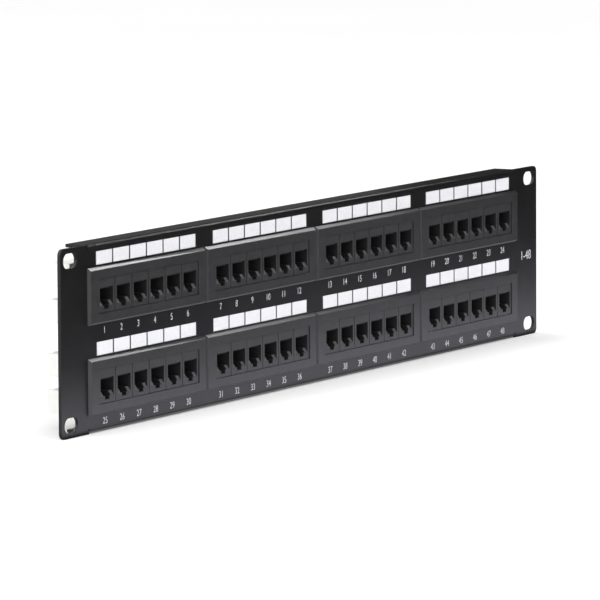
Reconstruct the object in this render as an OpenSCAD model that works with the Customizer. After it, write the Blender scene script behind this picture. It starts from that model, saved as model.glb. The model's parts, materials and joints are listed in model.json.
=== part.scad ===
// Two-unit 19-inch patch panel: 48 sockets in eight modules of six.
// The origin is the centre of the four rack slots, on the rear face of the ears.
// X runs to the right, Y to the back, Z up.

/* [Front panel] */
// Overall width of the panel across both ears
panel_w = 482.6; // [480:0.1:484]
// Overall height of the panel
panel_h = 88.1; // [86:0.1:89]
// Thickness of the steel sheet
sheet = 1.6; // [1.2:0.1:2]
// Radius of the panel's corners
corner_r = 3; // [1:0.5:5]
// Length of the folded flanges along the top and bottom edges
flange_l = 433.4; // [430:0.1:436]
// Depth of the flanges from the front face
flange_d = 12; // [8:0.5:16]
// Outer radius of the fold
fold_r = 2; // [1.8:0.1:3]

/* [Rack slots] */
// Distance between slot centres across the panel
slot_span_x = 465.1; // [464:0.1:466]
// Distance between slot centres up the panel
slot_span_z = 76.2; // [70:0.1:77]
// Length of a slot, end to end
slot_l = 12; // [9:0.5:13]
// Width of a slot
slot_w = 7.1; // [6.5:0.1:7.5]

/* [Module layout] */
// Distance between module centres along a row
module_pitch = 108.9; // [108.4:0.1:109.2]
// Distance between the two rows
row_pitch = 42.3; // [41:0.1:43]
// Height of the upper row's centre
upper_row_z = 19.8; // [19:0.1:20.2]
// Distance between socket centres
port_pitch = 15.52; // [15.4:0.01:15.6]

/* [Bezel] */
// Width of a module's bezel
bezel_w = 108; // [107:0.1:108.3]
// Height of a module's bezel
bezel_h = 26.8; // [26:0.1:28]
// How far a bezel stands out from the panel
bezel_proud = 1.6; // [1.2:0.1:2.5]
// Width of the sloped band along the bezel's top edge
bevel_top = 1.3; // [1:0.1:2.4]
// Width of the sloped band along the bezel's bottom edge
bevel_bottom = 1; // [0.6:0.1:2]
// Width of the sloped bands at the bezel's ends
bevel_side = 0.8; // [0.5:0.1:1.5]
// Depth of a jack's face below the bezel's face
face_drop = 0.4; // [0.2:0.1:0.8]

/* [Jack] */
// Width of one jack's housing
jack_w = 15.06; // [15:0.01:15.35]
// Height of one jack's housing
jack_h = 15.9; // [15.6:0.1:16]
// Width of a socket's main opening
socket_w = 11.9; // [11.7:0.1:12.1]
// Height of a socket's main opening
socket_h = 6.5; // [6.3:0.1:6.7]
// Depth of a socket
socket_d = 12.2; // [12:0.1:12.4]

/* [Rear] */
// Distance from the ears' rear face to the circuit boards
board_y = 11; // [10.8:0.1:12]
// Thickness of a circuit board
board_t = 1.6; // [1.5:0.1:1.7]
// Width of a circuit board
board_w = 103; // [103:0.1:107]
// Height of a circuit board
board_h = 30; // [29:0.5:40]
// Overall depth of a punch-down block
idc_d = 13.8; // [13:0.1:16]

/* [Hidden] */
$fn = 48;
e = 0.01; // overshoot of a cut past a face

modules_per_row = 4;
module_count = 2 * modules_per_row;
ports_per_module = 6;

face_y = -sheet; // the panel's front face
bezel_y = face_y - bezel_proud; // the bezel's front face
jack_y = bezel_y + face_drop; // the jacks' front faces

// The jack group sits a little below the bezel's centre.
group_dz = -0.35;
group_w = ports_per_module * port_pitch;
window_w = group_w + 0.3; // opening in the bezel for the jacks
window_h = jack_h + 0.3;

// The panel's cut-out for one module, and the bezel's collar in it
cutout_w = 103;
cutout_h = 21;
fit_gap = 0.3;
collar_w = cutout_w - 2 * fit_gap;
collar_h = cutout_h - 2 * fit_gap;
collar_back = 2.6;
notch_r = 0.6; // corner radius of the cut-outs

// Snap hooks that catch the sheet's rear face
hook_w = 9;
hook_x = [-30, 30];
hook_reach = 1.4;
hook_gap = 0.05;

// Posts at the collar's ends that carry the circuit board
post_x = 49.1;
post_w = 4;
post_h = 9;
pilot_r = 1;
pilot_y = 5;

// Screws
screw_r = 0.97;
screw_head_r = 2;
screw_head_t = 1.3;
screw_tip_y = 6;
drive_r = 1.1;
drive_depth = 0.7;
board_hole_r = 1.2;
board_notch = [9, 3.2]; // cut from each corner of a board

// Socket outline, measured from the jack's centre
socket_top = 3.85;
step_w = 6.4;
step_h = 2;
key_w = 4;
key_h = 1.7;
lead_in = [1.4, 2.2]; // depth and height of the slopes at the floor's front edge
comb_w = 9.4;
comb_t = 0.55;
comb_y = [0.7, 1.6]; // from the jack's face

// Spring wires: eight in each socket, leaning down towards the back
wire_count = 8;
wire_pitch = 1.02;
wire_r = 0.2;
wire_drop = 10; // slope of a wire at rest, in degrees
wire_l = 9.2;
wire_root_y = jack_y + 2;
wire_root_z = socket_top - 0.4; // above the jack group's centre

// Labels above each jack
label_w = 14.2;
label_h = 6.2;
label_t = 0.2;
label_dz = 17.5; // above the bezel's centre

// Punch-down blocks: two rows of three on each board
idc_pitch_x = 31.2;
idc_row_dz = 8.6;
idc_h = 11;
idc_base = 6.8;
tooth_count = 9;
tooth_pitch = 3.4;
tooth_w = 2.1;
tooth_point = 1.2; // height of a tooth's pointed tip
tooth_short = 1.3; // how much shorter every second tooth is
end_margin = 0.45; // base beyond the outer teeth

// Slotted clips between the teeth
clip_w = 1.2;
clip_t = 0.4;
clip_h = 4.8;
clip_slit_w = 0.3;
clip_slit_h = 3.4;

function numbered(name) = [for (i = [1:module_count]) str(name, "_", i)];

black = [0.08, 0.08, 0.085];
dark_grey = [0.16, 0.16, 0.17];
ivory = [0.86, 0.85, 0.8];

// Centre of module i, counted from 1: the upper row first, left to right
function module_x(i) = ((i - 1) % modules_per_row - (modules_per_row - 1) / 2) * module_pitch;
function module_z(i) = upper_row_z - floor((i - 1) / modules_per_row) * row_pitch;

module at_module(i) {
    translate([module_x(i), 0, module_z(i)]) children();
}

// Copies its children to the centre of each of the six jacks of a module.
module at_ports() {
    for (k = [0:ports_per_module - 1])
        translate([(k - (ports_per_module - 1) / 2) * port_pitch, 0, group_dz]) children();
}

// A block centred on X and Z, from y0 back to y1
module block(w, h, y0, y1) {
    translate([-w / 2, y0, -h / 2]) cube([w, y1 - y0, h]);
}

// Extrudes an outline drawn in X and Z, from y0 back to y1.
module plate(y0, y1) {
    translate([0, y1, 0]) rotate([90, 0, 0]) linear_extrude(y1 - y0) children();
}

module rounded_rect(w, h, r) {
    union() {
        square([w - 2 * r, h], center = true);
        square([w, h - 2 * r], center = true);
        for (sx = [-1, 1], sz = [-1, 1])
            translate([sx * (w / 2 - r), sz * (h / 2 - r)]) circle(r);
    }
}

module slot_outline() {
    half = (slot_l - slot_w) / 2;
    union() {
        square([2 * half, slot_w], center = true);
        for (s = [-1, 1]) translate([s * half, 0]) circle(slot_w / 2);
    }
}

// The folded flange along the top edge, as an outline in Y and Z
module flange_outline() {
    top = panel_h / 2;
    fold_y = face_y + fold_r;
    fold_z = top - fold_r;
    union() {
        translate([fold_y, top - sheet]) square([flange_d - fold_r, sheet]);
        intersection() {
            translate([fold_y, fold_z]) difference() {
                circle(fold_r);
                circle(fold_r - sheet);
            }
            translate([face_y, fold_z]) square([fold_r, fold_r]);
        }
    }
}

module flange() {
    translate([-flange_l / 2, 0, 0])
        rotate([90, 0, 90]) linear_extrude(flange_l) flange_outline();
}

// The flat sheet: full height at the ears, and stopped at the folds between them
module front_sheet() {
    plate(face_y, 0) difference() {
        rounded_rect(panel_w, panel_h, corner_r);
        for (s = [-1, 1])
            translate([0, s * (panel_h / 2)])
                square([flange_l, 2 * fold_r], center = true);
        for (s = [-1, 1], t = [-1, 1])
            translate([s * flange_l / 2, t * (panel_h / 2 - fold_r)])
                square([1, 1], center = true);
        for (s = [-1, 1], t = [-1, 1])
            translate([s * slot_span_x / 2, t * slot_span_z / 2]) slot_outline();
        for (i = [1:module_count])
            translate([module_x(i), module_z(i)]) rounded_rect(cutout_w, cutout_h, notch_r);
    }
}

module front_panel() {
    color(black) union() {
        front_sheet();
        flange();
        mirror([0, 0, 1]) flange();
    }
}

// The bezel's sloped frame, as the common part of two straight prisms
module bezel_frame() {
    half_w = bezel_w / 2;
    half_h = bezel_h / 2;
    intersection() {
        rotate([90, 0, 90]) linear_extrude(bezel_w, center = true) polygon([
            [face_y, -half_h], [face_y, half_h],
            [bezel_y, half_h - bevel_top], [bezel_y, -half_h + bevel_bottom]
        ]);
        linear_extrude(bezel_h, center = true) polygon([
            [-half_w, face_y], [half_w, face_y],
            [half_w - bevel_side, bezel_y], [-half_w + bevel_side, bezel_y]
        ]);
    }
}

// One hook on the collar's top edge, with a sloped back
module snap_hook() {
    root = collar_h / 2;
    rotate([90, 0, 90]) linear_extrude(hook_w, center = true) polygon([
        [hook_gap, root - 1], [hook_gap, root + hook_reach],
        [hook_gap + 0.8, root + hook_reach], [collar_back, root + 0.2], [collar_back, root - 1]
    ]);
}

module bezel(i) {
    color(dark_grey) at_module(i) difference() {
        union() {
            bezel_frame();
            block(collar_w, collar_h, face_y - e, collar_back);
            for (x = hook_x, flip = [0, 1])
                translate([x, 0, 0]) mirror([0, 0, flip]) snap_hook();
            for (s = [-1, 1])
                translate([s * post_x, 0, 0]) block(post_w, post_h, collar_back - e, board_y);
        }
        translate([0, 0, group_dz]) block(window_w, window_h, bezel_y - e, collar_back + e);
        for (s = [-1, 1])
            translate([s * post_x, board_y + e, 0]) rotate([90, 0, 0])
                cylinder(h = board_y - pilot_y, r = pilot_r);
    }
}

// The socket's stepped outline, with the latch's key way at the bottom
module socket_outline() {
    floor_z = socket_top - socket_h;
    step_z = floor_z - step_h;
    key_z = step_z - key_h;
    polygon([
        [-socket_w / 2, socket_top], [socket_w / 2, socket_top], [socket_w / 2, floor_z],
        [step_w / 2, floor_z], [step_w / 2, step_z], [key_w / 2, step_z], [key_w / 2, key_z],
        [-key_w / 2, key_z], [-key_w / 2, step_z], [-step_w / 2, step_z],
        [-step_w / 2, floor_z], [-socket_w / 2, floor_z]
    ]);
}

// A slope that guides the plug in, across one side of the socket's floor
module lead_in_cut() {
    floor_z = socket_top - socket_h;
    rotate([90, 0, 90]) linear_extrude((socket_w - step_w) / 2, center = true) polygon([
        [jack_y, floor_z - lead_in[1]], [jack_y + lead_in[0], floor_z],
        [jack_y + lead_in[0], floor_z + e], [jack_y - e, floor_z + e], [jack_y - e, floor_z - lead_in[1]]
    ]);
}

module jack() {
    union() {
        difference() {
            block(jack_w, jack_h, jack_y, board_y);
            plate(jack_y - e, jack_y + socket_d) socket_outline();
            for (s = [-1, 1])
                translate([s * (socket_w + step_w) / 4, 0, 0]) lead_in_cut();
        }
        translate([-comb_w / 2, jack_y + comb_y[0], socket_top - comb_t])
            cube([comb_w, comb_y[1] - comb_y[0], comb_t + e]);
    }
}

module jacks(i) {
    color(dark_grey) at_module(i) at_ports() jack();
}

module contact_springs(i) {
    color("gold") at_module(i) at_ports()
        for (k = [0:wire_count - 1])
            translate([(k - (wire_count - 1) / 2) * wire_pitch, wire_root_y, wire_root_z])
                rotate([-90 - wire_drop, 0, 0]) cylinder(h = wire_l, r = wire_r);
}

module circuit_board(i) {
    color("darkgreen") at_module(i) difference() {
        block(board_w, board_h, board_y, board_y + board_t);
        for (sx = [-1, 1], sz = [-1, 1])
            translate([sx * board_w / 2, 0, sz * board_h / 2])
                block(2 * board_notch[0], 2 * board_notch[1], board_y - e, board_y + board_t + e);
        for (s = [-1, 1])
            translate([s * post_x, board_y - e, 0]) rotate([-90, 0, 0])
                cylinder(h = board_t + 2 * e, r = board_hole_r);
    }
}

// Copies its children to the centre of each punch-down block of a module.
module at_idc() {
    for (column = [-1, 0, 1], row = [-1, 1])
        translate([column * idc_pitch_x, board_y + board_t, row * idc_row_dz]) children();
}

// A block's outline in X and Y: a base with nine pointed teeth
module idc_outline() {
    w = (tooth_count - 1) * tooth_pitch + tooth_w + 2 * end_margin;
    union() {
        translate([-w / 2, 0]) square([w, idc_base]);
        for (k = [0:tooth_count - 1]) {
            tip = idc_d - (k % 2) * tooth_short;
            translate([(k - (tooth_count - 1) / 2) * tooth_pitch, 0]) polygon([
                [-tooth_w / 2, idc_base - e], [tooth_w / 2, idc_base - e],
                [tooth_w / 2, tip - tooth_point], [0, tip], [-tooth_w / 2, tip - tooth_point]
            ]);
        }
    }
}

module punchdown_blocks(i) {
    color(ivory) at_module(i) at_idc()
        linear_extrude(idc_h, center = true) idc_outline();
}

// One clip: a flat fork whose slit grips the wire
module idc_clip() {
    linear_extrude(clip_t, center = true) difference() {
        translate([-clip_w / 2, 0]) square([clip_w, clip_h]);
        translate([-clip_slit_w / 2, clip_h - clip_slit_h]) square([clip_slit_w, clip_slit_h + e]);
    }
}

module punchdown_clips(i) {
    color("silver") at_module(i) at_idc()
        for (k = [0:tooth_count - 2])
            translate([(k - (tooth_count - 2) / 2) * tooth_pitch, idc_base, 0]) idc_clip();
}

module port_labels() {
    color("white") for (i = [1:module_count])
        at_module(i) at_ports()
            translate([0, 0, label_dz - group_dz]) block(label_w, label_h, face_y - label_t, face_y);
}

// A pan-head screw from the board's rear into a post
module board_screw() {
    head_y = board_y + board_t;
    rotate([-90, 0, 0]) difference() {
        union() {
            translate([0, 0, screw_tip_y]) cylinder(h = head_y - screw_tip_y + e, r = screw_r);
            translate([0, 0, head_y]) cylinder(h = screw_head_t, r = screw_head_r);
        }
        translate([0, 0, head_y + screw_head_t - drive_depth])
            linear_extrude(drive_depth + e) for (a = [0, 90])
                rotate(a) square([2 * drive_r, 0.5], center = true);
    }
}

module board_screws() {
    color("silver") for (i = [1:module_count], s = [-1, 1])
        at_module(i) translate([s * post_x, 0, 0]) board_screw();
}

front_panel();
port_labels();
board_screws();
for (i = [1:module_count]) {
    bezel(i);
    jacks(i);
    contact_springs(i);
    circuit_board(i);
    punchdown_blocks(i);
    punchdown_clips(i);
}
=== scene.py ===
import json
import math

import bmesh
import bpy
from mathutils import Matrix, Vector


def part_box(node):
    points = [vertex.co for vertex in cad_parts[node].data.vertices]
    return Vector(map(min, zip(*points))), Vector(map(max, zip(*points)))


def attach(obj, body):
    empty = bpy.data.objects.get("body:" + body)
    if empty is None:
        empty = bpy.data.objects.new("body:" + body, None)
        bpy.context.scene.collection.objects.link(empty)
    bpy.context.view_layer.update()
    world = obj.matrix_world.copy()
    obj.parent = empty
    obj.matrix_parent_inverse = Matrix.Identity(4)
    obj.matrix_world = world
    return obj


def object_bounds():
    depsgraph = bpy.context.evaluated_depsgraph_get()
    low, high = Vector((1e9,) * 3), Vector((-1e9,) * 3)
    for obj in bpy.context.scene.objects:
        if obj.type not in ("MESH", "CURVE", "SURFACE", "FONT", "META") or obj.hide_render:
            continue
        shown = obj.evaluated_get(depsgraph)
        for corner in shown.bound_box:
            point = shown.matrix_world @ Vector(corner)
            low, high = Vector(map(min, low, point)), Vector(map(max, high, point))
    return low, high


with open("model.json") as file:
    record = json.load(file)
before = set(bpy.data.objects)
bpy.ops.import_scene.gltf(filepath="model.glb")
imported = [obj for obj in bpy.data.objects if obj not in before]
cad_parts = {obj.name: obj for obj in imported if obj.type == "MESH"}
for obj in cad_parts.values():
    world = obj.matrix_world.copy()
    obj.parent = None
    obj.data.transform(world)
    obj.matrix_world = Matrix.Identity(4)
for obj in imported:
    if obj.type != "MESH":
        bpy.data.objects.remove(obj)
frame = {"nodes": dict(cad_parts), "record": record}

cad_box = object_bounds()

MM = 0.001
MODULES = 8
PORTS = 6
BODY = "panel"
PRINT_LIFT = 0.03 * MM  # how far print stands off the surface it is on

# ---------------------------------------------------------------- places from the frame


def span(node):
    """Centre, lowest and highest corner of a CAD node."""
    low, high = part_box(node)
    return (low + high) / 2, low, high


panel_low, panel_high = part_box("front_panel")
face_y = panel_low.y
jack_face_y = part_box("jacks_1")[0].y
board_back_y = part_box("circuit_board_1")[1].y
block_back_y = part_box("punchdown_blocks_1")[1].y
floor_z = cad_box[0].z


def port_centres(module):
    """X and Z of the centre of each jack in a module, from the module's own jack row."""
    mid, low, high = span(f"jacks_{module}")
    gap = 0.46 * MM
    pitch = (high.x - low.x + gap) / PORTS
    return [(mid.x + (k - (PORTS - 1) / 2) * pitch, mid.z) for k in range(PORTS)]


def block_places(module):
    """X and Z of a module's six punch-down blocks: three columns of an upper and a lower one."""
    block_w, block_h = 30.2 * MM, 11 * MM
    mid, low, high = span(f"punchdown_blocks_{module}")
    step = (high.x - low.x - block_w) / 2
    return [
        (mid.x + column * step, z)
        for column in (-1, 0, 1)
        for z in (high.z - block_h / 2, low.z + block_h / 2)
    ]


# ---------------------------------------------------------------- materials


class Shader:
    """A Principled material with its nodes made by short calls."""

    def __init__(self, name, colour, roughness, metallic=0.0):
        self.material = bpy.data.materials.new(name)
        self.material.use_nodes = True
        self.nodes = self.material.node_tree.nodes
        self.links = self.material.node_tree.links
        self.bsdf = self.nodes["Principled BSDF"]
        self.bsdf.inputs["Base Color"].default_value = (*colour, 1)
        self.bsdf.inputs["Roughness"].default_value = roughness
        self.bsdf.inputs["Metallic"].default_value = metallic
        self.coords = self.nodes.new("ShaderNodeTexCoord").outputs["Object"]

    def noise(self, scale, detail=4.0):
        """A value that varies smoothly over the piece."""
        node = self.nodes.new("ShaderNodeTexNoise")
        node.inputs["Scale"].default_value = scale
        node.inputs["Detail"].default_value = detail
        node.inputs["Roughness"].default_value = 0.55
        self.links.new(self.coords, node.inputs["Vector"])
        return node.outputs["Fac"]

    def mottle(self, scale, dark, light):
        """Small variation of the base colour between two tones."""
        node = self.nodes.new("ShaderNodeValToRGB")
        for element, place, colour in zip(node.color_ramp.elements, (0.35, 0.65), (dark, light)):
            element.position = place
            element.color = (*colour, 1)
        self.links.new(self.noise(scale), node.inputs["Fac"])
        self.links.new(node.outputs["Color"], self.bsdf.inputs["Base Color"])

    def vary_roughness(self, scale, low, high):
        """Small variation of the roughness, so that reflections aren't even."""
        node = self.nodes.new("ShaderNodeMapRange")
        node.inputs["To Min"].default_value = low
        node.inputs["To Max"].default_value = high
        self.links.new(self.noise(scale), node.inputs["Value"])
        self.links.new(node.outputs["Result"], self.bsdf.inputs["Roughness"])

    def bump(self, scale, height):
        """Surface texture of a real height, in metres."""
        node = self.nodes.new("ShaderNodeBump")
        node.inputs["Distance"].default_value = height
        node.inputs["Strength"].default_value = 1.0
        self.links.new(self.noise(scale, detail=3.0), node.inputs["Height"])
        self.links.new(node.outputs["Normal"], self.bsdf.inputs["Normal"])


def grey(value, blue=1.04):
    """A grey, very slightly blue."""
    return (value, value, value * blue)


def powder_coat():
    s = Shader("panel_coat", grey(0.006), 0.32)
    s.mottle(140, grey(0.005), grey(0.007))
    s.vary_roughness(60, 0.28, 0.35)
    s.bump(1500, 0.012 * MM)
    return s.material


def moulded(name, dark, light, rough_low, rough_high, texture_height):
    """Moulded plastic with a fine eroded texture."""
    s = Shader(name, light, rough_high)
    s.mottle(220, dark, light)
    s.vary_roughness(110, rough_low, rough_high)
    s.bump(4200, texture_height)
    return s.material


def black_plastic(name, dark, light, rough_low, rough_high):
    """Smooth moulded plastic, between two greys."""
    return moulded(name, grey(dark), grey(light), rough_low, rough_high, 0.003 * MM)


def block_plastic():
    ivory_dark, ivory_light = (0.82, 0.815, 0.79), (0.86, 0.855, 0.83)
    return moulded("block_plastic", ivory_dark, ivory_light, 0.38, 0.48, 0.006 * MM)


# painted shade: a near-black plastic for the sockets' insides, in place of the shade that falls deep in
# them
def socket_shade():
    return moulded("socket_shade", grey(0.003), grey(0.004), 0.6, 0.7, 0.004 * MM)


def paper():
    s = Shader("label_paper", (0.60, 0.60, 0.615), 0.6)
    s.mottle(900, (0.58, 0.58, 0.595), (0.62, 0.62, 0.635))
    s.bump(5000, 0.004 * MM)
    return s.material


def ink():
    s = Shader("print_ink", (0.44, 0.44, 0.455), 0.5)
    s.mottle(1500, (0.4, 0.4, 0.415), (0.48, 0.48, 0.495))
    return s.material


def plated(name, dark, light, roughness):
    """Bare or plated metal, between two tones."""
    s = Shader(name, light, roughness, metallic=1.0)
    s.mottle(900, dark, light)
    s.vary_roughness(400, roughness * 0.8, roughness * 1.3)
    return s.material


def solder_mask():
    s = Shader("board_mask", (0.012, 0.07, 0.03), 0.3)
    s.mottle(90, (0.010, 0.060, 0.026), (0.014, 0.078, 0.034))
    s.vary_roughness(200, 0.25, 0.36)
    s.bump(2500, 0.006 * MM)
    return s.material


def painted(name, colour):
    s = Shader(name, colour, 0.45)
    s.mottle(600, tuple(c * 0.88 for c in colour), colour)
    return s.material


MATERIALS = {
    "panel_coat": powder_coat(),
    "bezel_plastic": black_plastic("bezel_plastic", 0.020, 0.025, 0.30, 0.36),
    "jack_plastic": black_plastic("jack_plastic", 0.021, 0.026, 0.34, 0.40),
    # painted highlight: a lighter plastic for the sockets' slopes, in place of the light that catches
    # them
    "slope_highlight_plastic": black_plastic("slope_highlight_plastic", 0.06, 0.072, 0.34, 0.42),
    "socket_shade": socket_shade(),
    "block_plastic": block_plastic(),
    "label": paper(),
    "ink": ink(),
    "contact_gold": plated("contact_gold", (0.80, 0.56, 0.20), (0.98, 0.75, 0.33), 0.32),
    "clip_metal": plated("clip_metal", (0.55, 0.55, 0.56), (0.72, 0.72, 0.73), 0.32),
    "screw_steel": plated("screw_steel", (0.42, 0.42, 0.44), (0.6, 0.6, 0.62), 0.3),
    "board": solder_mask(),
    "board_track": painted("board_track", (0.018, 0.11, 0.048)),
    "solder": plated("solder", (0.5, 0.5, 0.52), (0.7, 0.7, 0.72), 0.28),
    "pair_blue": painted("pair_blue", (0.02, 0.12, 0.5)),
    "pair_orange": painted("pair_orange", (0.75, 0.2, 0.02)),
    "pair_green": painted("pair_green", (0.02, 0.3, 0.08)),
    "pair_brown": painted("pair_brown", (0.16, 0.06, 0.025)),
}
PAIR_COLOURS = ("blue", "orange", "green", "brown")
SLOTS = {entry["node"]: entry["material_slot"] for entry in frame["record"]["subparts"]}

# ---------------------------------------------------------------- the CAD nodes' looks


def dress_cad():
    """Gives every CAD node its material, and the panel, bezels and boards small soft edges."""
    soft_edges = {"front_panel": 0.25 * MM, "bezel": 0.22 * MM, "circuit": 0.08 * MM}
    for name, node in frame["nodes"].items():
        node.data.materials.clear()
        node.data.materials.append(MATERIALS[SLOTS[name]])
        width = next((w for start, w in soft_edges.items() if name.startswith(start)), 0)
        if width:
            weld = node.modifiers.new("weld", "WELD")
            weld.merge_threshold = 0.002 * MM
            bevel = node.modifiers.new("edges", "BEVEL")
            bevel.width = width
            bevel.segments = 2
            bevel.limit_method = "ANGLE"
            bevel.angle_limit = math.radians(25)
            bevel.harden_normals = True


def shade_sockets():
    """Painted shade inside the sockets, a near-black plastic, and a painted highlight on the slopes
    where the plugs slide in, a lighter plastic in place of the light that catches them.
    """
    shade, lit_slope = 1, 2  # the places of the two materials on each mesh, after its own
    half_w, below, above = 6.0 * MM, 6.4 * MM, 3.9 * MM  # the socket's reach about its centre
    behind_face = 0.05 * MM
    tilt = 0.3  # a slope's normal points forward and up by more than this
    for m in range(1, MODULES + 1):
        mesh = frame["nodes"][f"jacks_{m}"].data
        mesh.materials.append(MATERIALS["socket_shade"])
        mesh.materials.append(MATERIALS["slope_highlight_plastic"])
        centres = port_centres(m)
        for face in mesh.polygons:
            at, normal = face.center, face.normal
            x, z = min(centres, key=lambda c: abs(c[0] - at.x))
            if abs(at.x - x) > half_w or at.y < jack_face_y + behind_face:
                continue
            # the slopes take the painted highlight, the rest of the socket's inside the painted shade
            if normal.z > tilt and normal.y < -tilt:
                face.material_index = lit_slope
            elif -below < at.z - z < above:
                face.material_index = shade


# ---------------------------------------------------------------- added pieces


def finish_piece(name, parts, materials):
    """Makes a bmesh a piece of the scene that rides on the panel's body."""
    mesh = bpy.data.meshes.new(name)
    parts.to_mesh(mesh)
    parts.free()
    for material in materials:
        mesh.materials.append(MATERIALS[material])
    piece = bpy.data.objects.new(name, mesh)
    bpy.context.scene.collection.objects.link(piece)
    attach(piece, BODY)


def lettering(text, height):
    """The text as a thin mesh in X and Y, centred, with digits of that height."""
    digit_share = 0.73  # share of the font's size that a digit fills
    curve = bpy.data.curves.new("text", "FONT")
    curve.body = text
    curve.size = height / digit_share
    curve.align_x = "CENTER"
    curve.align_y = "CENTER"
    curve.extrude = 0.02 * MM
    carrier = bpy.data.objects.new("text", curve)
    bpy.context.scene.collection.objects.link(carrier)
    bpy.context.view_layer.update()
    graph = bpy.context.evaluated_depsgraph_get()
    mesh = bpy.data.meshes.new_from_object(carrier.evaluated_get(graph))
    bpy.data.objects.remove(carrier)
    bpy.data.curves.remove(curve)
    return mesh


def place_text(target, text, height, centre, facing=1):
    """Adds upright text to a bmesh. facing is 1 for the front and -1 for the rear."""
    mesh = lettering(text, height)
    turn = Matrix.Rotation(math.radians(90), 4, "X")
    if facing < 0:
        turn = Matrix.Rotation(math.radians(180), 4, "Z") @ turn
    mesh.transform(Matrix.Translation(Vector(centre)) @ turn)
    target.from_mesh(mesh)
    bpy.data.meshes.remove(mesh)


def front_print():
    """Printed port numbers, and the range of numbers on the right ear."""
    digit_h, below_module = 3.3 * MM, 16.75 * MM
    for m in range(1, MODULES + 1):
        numbers = bmesh.new()
        z = span(f"bezel_{m}")[0].z - below_module
        for k, (x, _) in enumerate(port_centres(m)):
            place_text(numbers, str((m - 1) * PORTS + k + 1), digit_h, (x, face_y - PRINT_LIFT, z))
        finish_piece(f"port_numbers_{m}", numbers, ["ink"])
    mark = bmesh.new()
    mark_h, from_edge, mark_z = 4.9 * MM, 12.5 * MM, -2.1 * MM
    place = (panel_high.x - from_edge, face_y - PRINT_LIFT, mark_z)
    place_text(mark, f"1-{MODULES * PORTS}", mark_h, place)
    finish_piece("range_mark", mark, ["ink"])


def add_dome(target, centre, radius):
    """Adds a low solder dome that rises from the board's rear."""
    flatness = 0.55  # its height over the board, as a share of its radius
    placing = Matrix.Translation(Vector(centre)) @ Matrix.Diagonal((1, flatness, 1, 1))
    bmesh.ops.create_icosphere(target, subdivisions=2, radius=radius, matrix=placing)


def add_box(target, centre, size):
    placing = Matrix.Translation(Vector(centre)) @ Matrix.Diagonal((*size, 1))
    bmesh.ops.create_cube(target, size=1, matrix=placing)


def board_details():
    """Solder joints and raised tracks on the rear of each board."""
    pins, pin_step, stagger = 8, 1.27 * MM, 1.3 * MM
    dome_r = 0.42 * MM
    track_w, track_t, reach = 0.3 * MM, 0.05 * MM, 3.4 * MM
    track_y = board_back_y + 0.015 * MM  # less than half its thickness, so that no gap shows
    for m in range(1, MODULES + 1):
        mid = span(f"circuit_board_{m}")[0]
        domes, tracks = bmesh.new(), bmesh.new()
        for x, _ in port_centres(m):
            for p in range(pins):
                px = x + (p - (pins - 1) / 2) * pin_step
                side = 1 if p % 2 else -1
                add_dome(domes, (px, board_back_y, mid.z + side * stagger), dome_r)
                track_z = mid.z + side * (stagger + reach / 2)
                add_box(tracks, (px, track_y, track_z), (track_w, track_t, reach))
        finish_piece(f"solder_joints_{m}", domes, ["solder"])
        finish_piece(f"board_tracks_{m}", tracks, ["board_track"])


def add_tooth_tip(target, x, z, colour_index):
    """Adds a thin coloured cap over the pointed tip of a short tooth."""
    half_w, point, half_z, thick = 1.08 * MM, 1.2 * MM, 2.6 * MM, 0.035 * MM
    tip_y = block_back_y - 1.3 * MM  # short teeth stop before the long ones
    shoulder_y = tip_y - point
    outline = [
        (x - half_w, shoulder_y - thick), (x + half_w, shoulder_y - thick),
        (x + half_w, shoulder_y), (x, tip_y + thick), (x - half_w, shoulder_y),
    ]
    low = [target.verts.new((px, py, z - half_z)) for px, py in outline]
    high = [target.verts.new((px, py, z + half_z)) for px, py in outline]
    faces = [target.faces.new(list(reversed(low))), target.faces.new(high)]
    for a in range(len(outline)):
        b = (a + 1) % len(outline)
        faces.append(target.faces.new([low[a], low[b], high[b], high[a]]))
    for face in faces:
        face.material_index = colour_index


def pair_marks():
    """The four wire pairs' colours, on the tips of the blocks' short teeth."""
    pair_pitch = 6.8 * MM
    middle = (len(PAIR_COLOURS) - 1) / 2
    for m in range(1, MODULES + 1):
        marks = bmesh.new()
        for x, z in block_places(m):
            for k in range(len(PAIR_COLOURS)):
                add_tooth_tip(marks, x + (k - middle) * pair_pitch, z, k)
        finish_piece(f"pair_marks_{m}", marks, [f"pair_{colour}" for colour in PAIR_COLOURS])


def board_numbers():
    """Port numbers printed on the boards' rear, between the two rows of blocks."""
    digit_h, off_middle = 1.9 * MM, 1.5 * MM
    for m in range(1, MODULES + 1):
        numbers = bmesh.new()
        mid_z = span(f"circuit_board_{m}")[0].z
        for k, (x, z) in enumerate(block_places(m)):
            side = 1 if z > mid_z else -1
            place = (x, board_back_y + PRINT_LIFT, mid_z + side * off_middle)
            place_text(numbers, str((m - 1) * PORTS + k + 1), digit_h, place, facing=-1)
        finish_piece(f"board_numbers_{m}", numbers, ["ink"])


# ---------------------------------------------------------------- stage, light and camera


def make_stage():
    """A wide pale floor. The world's own light meets it at the horizon."""
    reach = 300.0
    corners = ((-reach, -reach), (reach, -reach), (reach, reach), (-reach, reach))
    mesh = bpy.data.meshes.new("studio_floor")
    mesh.from_pydata([(x, y, floor_z) for x, y in corners], [], [(0, 1, 2, 3)])
    floor = bpy.data.objects.new("studio_floor", mesh)
    bpy.context.scene.collection.objects.link(floor)
    s = Shader("floor_paper", (0.93, 0.93, 0.93), 0.8)
    s.mottle(3, (0.925, 0.925, 0.925), (0.935, 0.935, 0.935))
    mesh.materials.append(s.material)
    floor.visible_glossy = False


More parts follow.
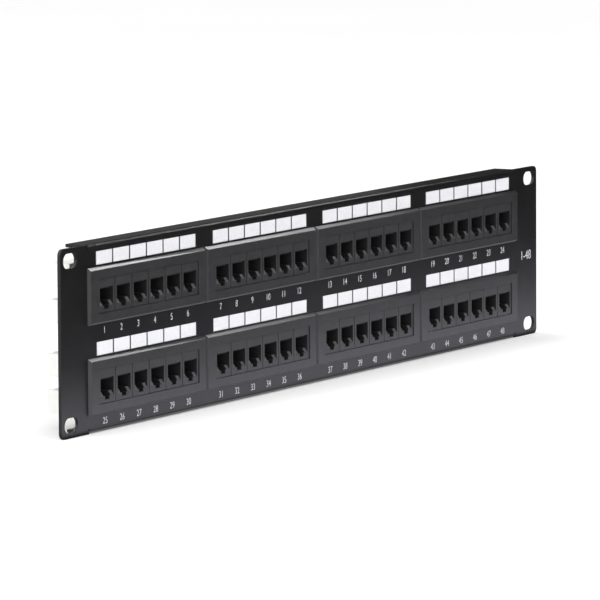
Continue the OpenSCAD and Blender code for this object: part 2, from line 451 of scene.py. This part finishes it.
def area_light(name, place, aim, size, power, spread=180, tint=(1, 1, 1)):
    """A rectangular light that the camera doesn't see. spread is its beam's angle in degrees."""
    data = bpy.data.lights.new(name, "AREA")
    data.shape = "RECTANGLE"
    data.size, data.size_y = size
    data.energy = power
    data.spread = math.radians(spread)
    data.color = tint
    lamp = bpy.data.objects.new(name, data)
    bpy.context.scene.collection.objects.link(lamp)
    lamp.location = place
    lamp.rotation_mode = "QUATERNION"
    lamp.rotation_quaternion = (Vector(aim) - Vector(place)).to_track_quat("-Z", "Y")
    lamp.visible_camera = False


def floor_card(name, x, y, size, power):
    """A glowing card that lies on the floor, and that the front face reflects."""
    lift = 0.5 * MM
    nudge = 1.0 * MM  # leans its aim a little, which turns its long side along X
    cool = (0.97, 0.96, 1.08)
    area_light(name, (x, y, floor_z + lift), (x, y + nudge, 1), size, power, tint=cool)


def make_lights():
    """Two softboxes, a narrow beam for the upper edges, a floor light and cards for reflections."""
    area_light("top_softbox", (-0.45, -0.5, 1.2), (-0.1, 0, 0), (1.3, 0.9), 7)
    area_light("edge_softbox", (0.78, -0.04, 0.62), (-0.3, 0, 0.02), (0.2, 0.2), 0.034, spread=20)
    floor_card("low_card", 0.02, -0.043, (1.1, 0.076), 0.25)
    floor_card("right_card", 0.37, -0.14, (0.38, 0.12), 0.03)
    area_light("floor_fill", (0, -0.16, 0.7), (0, -0.159, 0), (0.9, 0.04), 0.55, spread=22)
    area_light("flange_card", (1.06, 0.72, 0.2), (-0.2, 0, 0.044), (0.35, 0.15), 0.045)
    area_light("rear_softbox", (0.8, 1.4, 0.9), (0, 0, 0), (1.0, 1.0), 4)


def make_world():
    """A bright studio with a dark screen along its right side, where the front's reflections point.

    The floor takes no part in reflections, so below the horizon the world stands for it: dim in the
    distance, and bright close under the panel's lower edge.
    """
    world = bpy.data.worlds.new("studio_world")
    bpy.context.scene.world = world
    world.use_nodes = True
    nodes, links = world.node_tree.nodes, world.node_tree.links
    coords = nodes.new("ShaderNodeTexCoord").outputs["Generated"]
    split = nodes.new("ShaderNodeSeparateXYZ")
    links.new(coords, split.inputs["Vector"])

    def fade(value, start, end, low, high):
        node = nodes.new("ShaderNodeMapRange")
        for name, number in (("From Min", start), ("From Max", end), ("To Min", low), ("To Max", high)):
            node.inputs[name].default_value = number
        links.new(value, node.inputs["Value"])
        return node.outputs["Result"]

    def combine(operation, first, second):
        node = nodes.new("ShaderNodeMath")
        node.operation = operation
        links.new(first, node.inputs[0])
        links.new(second, node.inputs[1])
        return node.outputs["Value"]

    right, up = split.outputs["X"], split.outputs["Z"]
    screen = fade(right, 0.25, 0.6, 1.45, 0.03)
    horizon = fade(up, -0.15, -0.02, 0.25, 1.0)
    to_the_right = fade(right, 0.6, 0.8, 0.0, 1.0)
    near_floor = fade(up, -0.45, -0.2, 0.8, 0.0)
    studio = combine("MULTIPLY", screen, horizon)
    floor_glow = combine("MULTIPLY", to_the_right, near_floor)
    links.new(combine("ADD", studio, floor_glow), nodes["Background"].inputs["Strength"])
    nodes["Background"].inputs["Color"].default_value = (1, 1, 1, 1)


def make_camera():
    """A long lens, well to the left of the panel and a little above it."""
    distance = 3.12
    azimuth, elevation, roll = math.radians(-61.0), math.radians(6.3), math.radians(-0.3)
    target = Vector((-0.0148, face_y, -0.00146))
    away = Vector((
        math.sin(azimuth) * math.cos(elevation),
        -math.cos(azimuth) * math.cos(elevation),
        math.sin(elevation),
    ))
    data = bpy.data.cameras.new("camera")
    data.sensor_width = 36
    data.lens = 382.2
    camera = bpy.data.objects.new("camera", data)
    bpy.context.scene.collection.objects.link(camera)
    camera.location = target + away * distance
    camera.rotation_mode = "QUATERNION"
    turn = (-away).to_track_quat("-Z", "Y")
    camera.rotation_quaternion = turn @ Matrix.Rotation(roll, 3, "Z").to_quaternion()
    bpy.context.scene.camera = camera


dress_cad()
shade_sockets()
front_print()
board_details()
pair_marks()
board_numbers()
make_stage()
make_world()
make_lights()
make_camera()
bpy.context.scene.view_settings.view_transform = "Standard"
